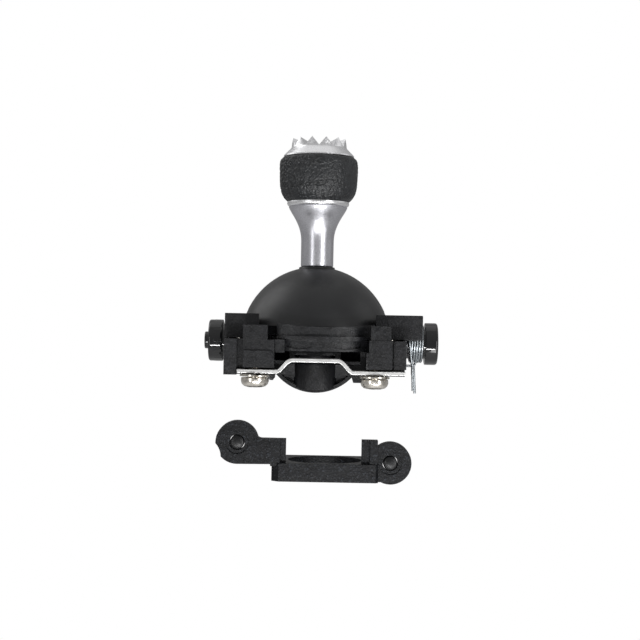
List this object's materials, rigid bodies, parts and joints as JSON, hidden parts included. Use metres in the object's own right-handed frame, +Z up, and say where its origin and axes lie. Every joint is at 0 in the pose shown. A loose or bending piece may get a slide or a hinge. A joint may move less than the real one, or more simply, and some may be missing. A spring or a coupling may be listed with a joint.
{
  "type": "two-axis thumb-stick gimbal module",
  "caption": "Spring-centred two-axis control stick in a moulded gimbal frame with a domed dust cover, and the loose moulded bracket that goes under it.",
  "frame": {"origin": "the point where the stick's two tilt axes cross, at the centre of the dome", "axes": "+Z up along the stick at rest, +X towards the end cap and its spring, +Y away from the front face that carries the metal strip"},
  "size_m": [0.0371, 0.0363, 0.0543],
  "materials": {
    "black_moulding": "fine spark-eroded black moulding",
    "gloss_black": "polished black moulding",
    "dome_black": "smooth satin charcoal moulding",
    "satin_aluminium": "bead-blasted, clear anodised",
    "grip_leather": "black rubber with a pebbled leather grain",
    "plated_strip": "bright plated spring steel",
    "warm_nickel": "nickel plated",
    "shaft_steel": "ground steel",
    "spring_steel": "drawn steel wire",
    "bush_bronze": "sintered bronze",
    "magnet": "nickel-plated sintered magnet"
  },
  "bodies": {
    "frame": {"gimbal_frame": "black_moulding", "front_lip": "black_moulding", "left_bearing_block": "black_moulding", "right_bearing_block": "black_moulding", "rear_bearing_block": "black_moulding", "left_sensor_housing": "gloss_black", "rear_sensor_housing": "gloss_black", "tension_strip": "plated_strip", "left_strip_washer": "warm_nickel", "left_strip_screw": "warm_nickel", "right_strip_washer": "warm_nickel", "right_strip_screw": "warm_nickel", "left_front_block_screw": "warm_nickel", "left_rear_block_screw": "warm_nickel", "right_front_block_screw": "warm_nickel", "right_rear_block_screw": "warm_nickel", "rear_left_block_screw": "warm_nickel", "rear_right_block_screw": "warm_nickel", "right_torsion_spring": "spring_steel", "rear_torsion_spring": "spring_steel", "right_bush": "bush_bronze", "left_bush": "bush_bronze", "rear_bush": "bush_bronze"},
    "cradle": {"cradle_ring": "black_moulding", "right_cradle_shaft": "shaft_steel", "left_cradle_shaft": "shaft_steel", "right_centring_finger": "shaft_steel", "right_end_cap": "gloss_black", "left_magnet": "magnet", "stick_pin": "shaft_steel"},
    "stick": {"stick_hub": "black_moulding", "stick_rod": "shaft_steel", "dome": "dome_black"},
    "head": {"lock_neck": "satin_aluminium", "head_core": "satin_aluminium", "grip_sleeve": "grip_leather"},
    "crown": {"crown_cap": "satin_aluminium", "crown_screw": "warm_nickel"},
    "arch": {"arch_yoke": "black_moulding", "arch_front_pin": "shaft_steel", "arch_rear_shaft": "shaft_steel", "rear_centring_finger": "shaft_steel", "rear_magnet": "magnet"},
    "loose_bracket": {"bracket": "black_moulding", "left_ear_pin": "dome_black", "right_ear_pin": "dome_black"}
  },
  "joints": [
    {"name": "cradle_tilt", "type": "hinge", "parent": "frame", "child": "cradle", "pos_m": [0, 0, 0], "axis": [1, 0, 0], "range_deg": [-18, 18], "stiffness_Nm_per_rad": 0.02},
    {"name": "stick_tilt", "type": "hinge", "parent": "cradle", "child": "stick", "pos_m": [0, 0, 0], "axis": [0, 1, 0], "range_deg": [-18, 18], "stiffness_Nm_per_rad": 0.02},
    {"name": "arch_follow", "type": "hinge", "parent": "frame", "child": "arch", "pos_m": [0, 0, 0], "axis": [0, 1, 0], "range_deg": [-18, 18]},
    {"name": "stick_height", "type": "slide", "parent": "stick", "child": "head", "axis": [0, 0, 1], "range_m": [0, 0.003]},
    {"name": "crown_turn", "type": "hinge", "parent": "head", "child": "crown", "pos_m": [0, 0, 0.03], "axis": [0, 0, 1], "continuous": true},
    {"name": "bracket_lift", "type": "slide", "parent": "frame", "child": "loose_bracket", "axis": [0, 0, 1], "range_m": [0, 0.007]}
  ],
  "couplings": [
    {"joint": "arch_follow", "follows": "stick_tilt", "ratio": 1}
  ]
}
